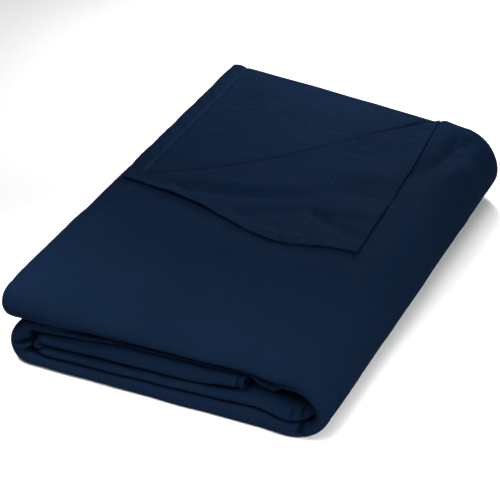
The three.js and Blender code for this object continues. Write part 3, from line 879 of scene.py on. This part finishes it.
# Spun polyester thread, dyed to match: its fibres are drawn 0.6 mm apart, and it is a little paler and
# smoother than the cloth, so each stitch catches some light
FIBRE, TWIST_DEPTH = 0.6, 0.1
THREAD_DEEP, THREAD_PALE = "#21385c", "#2e4970"
thread = bpy.data.materials.new("navy polyester thread")
thread.use_nodes = True
tree = thread.node_tree
tree.nodes.clear()
where = add_node(tree, "ShaderNodeTexCoord")
fibre = add_node(tree, "ShaderNodeTexNoise", inputs={"Scale": 1 / (FIBRE * MM), "Detail": 2.0},
                 links={"Vector": (where, "Object")})
colour = add_node(tree, "ShaderNodeMix", {"data_type": "RGBA"},
                  {6: linear(THREAD_DEEP), 7: linear(THREAD_PALE)}, {0: (fibre, "Fac")})
twist = add_node(tree, "ShaderNodeBump", inputs={"Strength": 0.4, "Distance": TWIST_DEPTH * MM},
                 links={"Height": (fibre, "Fac")})
shader = add_node(tree, "ShaderNodeBsdfPrincipled", inputs={"Roughness": 0.6, "Specular IOR Level": 0.03},
                  links={"Base Color": (colour, 2), "Normal": (twist, 0)})
add_node(tree, "ShaderNodeOutputMaterial", links={"Surface": (shader, "BSDF")})

# Stitches along the rows: small balls, drawn out along the row and standing on the cloth
sizes = {
    "Pitch": STITCH_PITCH * MM,
    "Length": STITCH_LENGTH * MM,
    "Width": THREAD_WIDTH * MM,
    "Unevenness": STITCH_UNEVEN,
}
tree = bpy.data.node_groups.new("stitch rows", "GeometryNodeTree")
tree.interface.new_socket("Geometry", in_out="INPUT", socket_type="NodeSocketGeometry")
sockets = {}
for name in sizes:
    sockets[name] = tree.interface.new_socket(name, in_out="INPUT", socket_type="NodeSocketFloat")
tree.interface.new_socket("Geometry", in_out="OUTPUT", socket_type="NodeSocketGeometry")
given = add_node(tree, "NodeGroupInput")
lines = add_node(tree, "GeometryNodeMeshToCurve", links={"Mesh": (given, "Geometry")})
spaced = add_node(tree, "GeometryNodeResampleCurve", {"mode": "LENGTH"},
                  links={"Curve": (lines, "Curve"), "Length": (given, "Pitch")})
up = add_node(tree, "GeometryNodeInputNamedAttribute", {"data_type": "FLOAT_VECTOR"}, {"Name": "up"})
row_way = add_node(tree, "GeometryNodeInputTangent")
lie = add_node(tree, "FunctionNodeAlignRotationToVector", {"axis": "X"},
               links={"Vector": (row_way, "Tangent")})
stand = add_node(tree, "FunctionNodeAlignRotationToVector", {"axis": "Z", "pivot_axis": "X"},
                 links={"Rotation": (lie, "Rotation"), "Vector": (up, "Attribute")})
ball = add_node(tree, "GeometryNodeMeshUVSphere", inputs={"Segments": 8, "Rings": 6, "Radius": 0.5})
size = add_node(tree, "ShaderNodeCombineXYZ",
                links={"X": (given, "Length"), "Y": (given, "Width"), "Z": (given, "Width")})
smallest = add_node(tree, "ShaderNodeMath", {"operation": "SUBTRACT"}, {0: 1.0}, {1: (given, "Unevenness")})
largest = add_node(tree, "ShaderNodeMath", {"operation": "ADD"}, {0: 1.0}, {1: (given, "Unevenness")})
uneven = add_node(tree, "FunctionNodeRandomValue", inputs={"Seed": 7},
                  links={2: (smallest, 0), 3: (largest, 0)})
scale = add_node(tree, "ShaderNodeVectorMath", {"operation": "SCALE"},
                 links={0: (size, 0), "Scale": (uneven, 1)})
placed = add_node(tree, "GeometryNodeInstanceOnPoints",
                  links={"Points": (spaced, "Curve"), "Instance": (ball, "Mesh"),
                         "Rotation": (stand, "Rotation"), "Scale": (scale, 0)})
real = add_node(tree, "GeometryNodeRealizeInstances", links={0: (placed, 0)})
sewn_with = add_node(tree, "GeometryNodeSetMaterial", inputs={"Material": thread}, links={0: (real, 0)})
add_node(tree, "NodeGroupOutput", links={"Geometry": (sewn_with, 0)})
sewing = stitching.modifiers.new("sewing", "NODES")
sewing.node_group = tree
for name, value in sizes.items():
    sewing[sockets[name].identifier] = value
bpy.context.view_layer.update()
stitches = bpy.data.meshes.new_from_object(stitching.evaluated_get(bpy.context.evaluated_depsgraph_get()))
stitching.modifiers.clear()
stitching.data = stitches
stitches.polygons.foreach_set("use_smooth", [True] * len(stitches.polygons))

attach(stitching, "root")

# The studio: a plain pale floor, a low light from behind that brings out the folds, large soft lights from
# above and the right, and weak narrow ones on the front, the near left and the corner. A long lens looks down
# from the front right.
FLOOR = 6.0
PAPER = "#f6f6f6"
SKY = 0.1
floor_mesh = bpy.data.meshes.new("floor")
floor_points = [(-FLOOR, -FLOOR, 0), (FLOOR, -FLOOR, 0), (FLOOR, FLOOR, 0), (-FLOOR, FLOOR, 0)]
floor_mesh.from_pydata(floor_points, [], [(0, 1, 2, 3)])
floor = bpy.data.objects.new("floor", floor_mesh)
bpy.context.scene.collection.objects.link(floor)
paper = bpy.data.materials.new("white paper")
paper.use_nodes = True
paper_shader = paper.node_tree.nodes["Principled BSDF"]
paper_shader.inputs["Base Color"].default_value = linear(PAPER)
paper_shader.inputs["Roughness"].default_value = 0.9
paper_shader.inputs["Specular IOR Level"].default_value = 0.1
floor_mesh.materials.append(paper)

world = bpy.data.worlds.new("studio")
bpy.context.scene.world = world
world.use_nodes = True
world.node_tree.nodes["Background"].inputs["Color"].default_value = (1, 1, 1, 1)
world.node_tree.nodes["Background"].inputs["Strength"].default_value = SKY
# Each light: name, place, what it is aimed at, size, watts and spread in degrees
LIGHTS = [
    ("key, behind", (-0.05, 0.42, 0.3), (0, 0, 0.03), 0.2, 2.8, 180),
    ("front", (0.04, -0.42, 0.3), (0.04, -0.22, 0.03), 0.4, 0.11, 50),
    ("front, narrow", (0.05, -0.37, 0.36), (0.04, -0.21, 0.03), 0.15, 0.097, 45),
    ("near left", (-0.26, -0.26, 0.5), (-0.15, -0.18, 0.05), 0.15, 0.17, 36),
    ("over the corner", (-0.04, -0.25, 0.55), (-0.04, 0.07, 0.065), 0.15, 0.03, 26),
    ("near right", (0.5, -0.3, 0.35), (0.1, 0.0, 0.03), 0.2, 2.3, 180),
    ("right", (1.9, -0.5, 0.7), (0, 0, 0.03), 0.9, 5, 180),
    ("overhead", (0, 0, 2.0), (0, 0, 0.03), 1.2, 19, 180),
]
for name, light_place, aim, light_size, watts, spread in LIGHTS:
    lamp = bpy.data.lights.new(name, "AREA")
    lamp.shape = "DISK"
    lamp.size = light_size
    lamp.energy = watts
    lamp.spread = math.radians(spread)
    light = bpy.data.objects.new(name, lamp)
    light.visible_camera = False
    light.location = light_place
    light.rotation_euler = (Vector(light_place) - Vector(aim)).to_track_quat("Z", "Y").to_euler()
    bpy.context.scene.collection.objects.link(light)

AZIMUTH, ELEVATION, DISTANCE = math.radians(26.2), math.radians(35.4), 1.385
TARGET = Vector((-0.0244, 0.0120, 0.0))
FOCAL_LENGTH, SENSOR_WIDTH = 118.8, 36.0
lens = bpy.data.cameras.new("camera")
lens.lens = FOCAL_LENGTH
lens.sensor_width = SENSOR_WIDTH
camera = bpy.data.objects.new("camera", lens)
level_back = math.cos(ELEVATION)
back = Vector((math.sin(AZIMUTH) * level_back, -math.cos(AZIMUTH) * level_back, math.sin(ELEVATION)))
camera.location = TARGET + DISTANCE * back
camera.rotation_euler = back.to_track_quat("Z", "Y").to_euler()
bpy.context.scene.collection.objects.link(camera)
bpy.context.scene.camera = camera
bpy.context.scene.view_settings.view_transform = "Standard"
